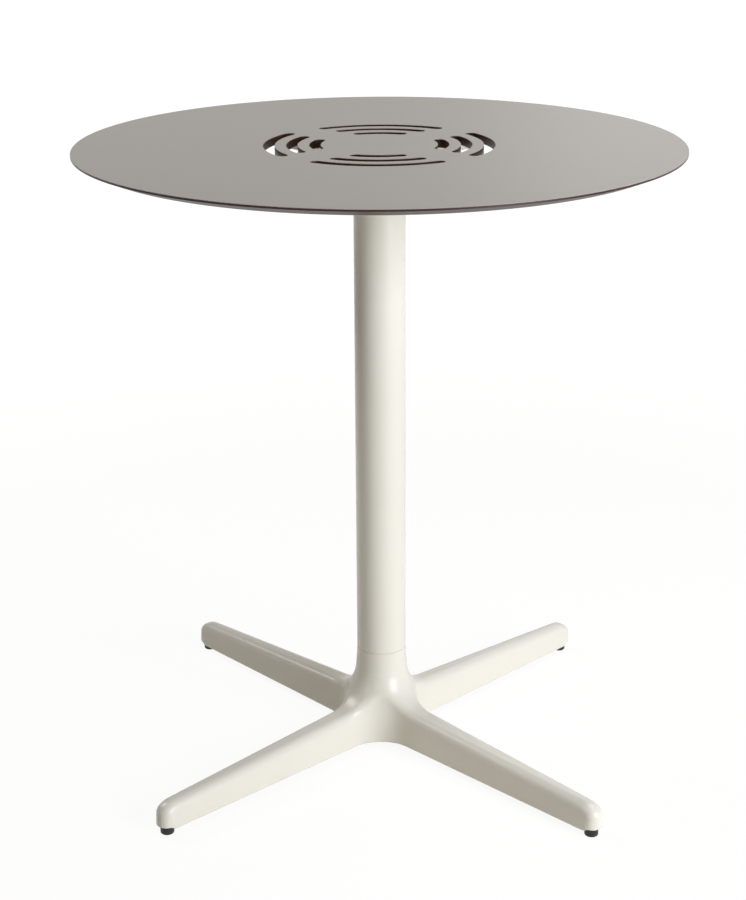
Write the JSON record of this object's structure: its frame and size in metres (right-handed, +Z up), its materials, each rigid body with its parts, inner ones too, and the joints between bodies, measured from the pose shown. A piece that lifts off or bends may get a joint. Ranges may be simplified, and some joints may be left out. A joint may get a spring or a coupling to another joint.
{
  "type": "round garden table",
  "caption": "Round pedestal garden table: a slotted laminate top with a bevelled edge, on a tube column and a cast cross base with screw-adjusted feet.",
  "frame": {"origin": "on the floor, under the middle of the top", "axes": "+Z up along the column; the legs lie on the diagonals, and the groups of slots on X and Y"},
  "size_m": [0.6899, 0.69, 0.744],
  "materials": {
    "top_laminate": "warm grey matt laminate with a dark brown core",
    "cast_paint": "cream powder coat, satin",
    "tube_paint": "cream powder coat, satin",
    "zinc_steel": "zinc-plated steel",
    "stainless_steel": "stainless steel, plain",
    "insert_brass": "turned brass",
    "glide_plastic": "black moulded plastic"
  },
  "bodies": {
    "table": {"table_top": "top_laminate", "top_head": "cast_paint", "base_star": "cast_paint", "column_tube": "tube_paint", "tie_rod": "zinc_steel", "rod_washer_top": "zinc_steel", "rod_nut_top": "zinc_steel", "rod_washer_base": "zinc_steel", "rod_nut_base": "zinc_steel", "top_insert_1": "insert_brass", "top_screw_1": "stainless_steel", "top_washer_1": "stainless_steel", "top_insert_2": "insert_brass", "top_screw_2": "stainless_steel", "top_washer_2": "stainless_steel", "top_insert_3": "insert_brass", "top_screw_3": "stainless_steel", "top_washer_3": "stainless_steel", "top_insert_4": "insert_brass", "top_screw_4": "stainless_steel", "top_washer_4": "stainless_steel"},
    "stud_1": {"foot_stud_1": "zinc_steel"},
    "foot_1": {"foot_glide_1": "glide_plastic"},
    "stud_2": {"foot_stud_2": "zinc_steel"},
    "foot_2": {"foot_glide_2": "glide_plastic"},
    "stud_3": {"foot_stud_3": "zinc_steel"},
    "foot_3": {"foot_glide_3": "glide_plastic"},
    "stud_4": {"foot_stud_4": "zinc_steel"},
    "foot_4": {"foot_glide_4": "glide_plastic"}
  },
  "joints": [
    {"name": "foot_lift_1", "type": "slide", "parent": "table", "child": "stud_1", "axis": [0, 0, -1], "range_m": [0, 0.0075]},
    {"name": "foot_turn_1", "type": "hinge", "parent": "stud_1", "child": "foot_1", "pos_m": [0.24148, 0.24148, 0.004], "axis": [0, 0, -1], "range_deg": [0, 2160]},
    {"name": "foot_lift_2", "type": "slide", "parent": "table", "child": "stud_2", "axis": [0, 0, -1], "range_m": [0, 0.0075]},
    {"name": "foot_turn_2", "type": "hinge", "parent": "stud_2", "child": "foot_2", "pos_m": [-0.24148, 0.24148, 0.004], "axis": [0, 0, -1], "range_deg": [0, 2160]},
    {"name": "foot_lift_3", "type": "slide", "parent": "table", "child": "stud_3", "axis": [0, 0, -1], "range_m": [0, 0.0075]},
    {"name": "foot_turn_3", "type": "hinge", "parent": "stud_3", "child": "foot_3", "pos_m": [-0.24148, -0.24148, 0.004], "axis": [0, 0, -1], "range_deg": [0, 2160]},
    {"name": "foot_lift_4", "type": "slide", "parent": "table", "child": "stud_4", "axis": [0, 0, -1], "range_m": [0, 0.0075]},
    {"name": "foot_turn_4", "type": "hinge", "parent": "stud_4", "child": "foot_4", "pos_m": [0.24148, -0.24148, 0.004], "axis": [0, 0, -1], "range_deg": [0, 2160]}
  ],
  "couplings": [
    {"joint": "foot_turn_1", "follows": "foot_lift_1", "rad_per_m": 5026.5},
    {"joint": "foot_turn_2", "follows": "foot_lift_2", "rad_per_m": 5026.5},
    {"joint": "foot_turn_3", "follows": "foot_lift_3", "rad_per_m": 5026.5},
    {"joint": "foot_turn_4", "follows": "foot_lift_4", "rad_per_m": 5026.5}
  ]
}
